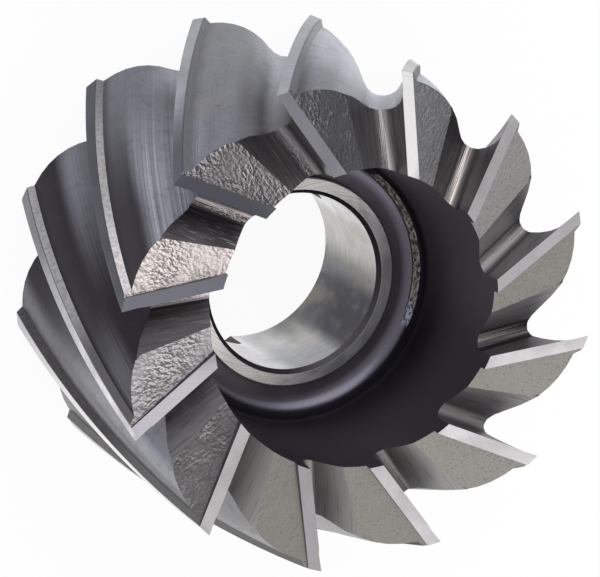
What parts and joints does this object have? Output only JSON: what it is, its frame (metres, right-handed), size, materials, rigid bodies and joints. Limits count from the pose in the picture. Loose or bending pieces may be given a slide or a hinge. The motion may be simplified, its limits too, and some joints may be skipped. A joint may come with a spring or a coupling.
{
  "type": "shell end mill",
  "caption": "Short drum-shaped milling cutter with helical teeth around the outside and across one end, a bore for an arbor, a deep recess for the arbor screw and a drive slot across the back.",
  "frame": {"origin": "centre of the bore at the back seating face, which is the lowest face", "axes": "+Z along the bore towards the cutting end, +X along the drive slot across the back"},
  "size_m": [0.0698, 0.0698, 0.0413],
  "materials": {
    "tool_steel": "ground lands and bore, satin dark flutes and recess"
  },
  "bodies": {
    "root": {"cutter_body": "tool_steel"}
  },
  "joints": []
}
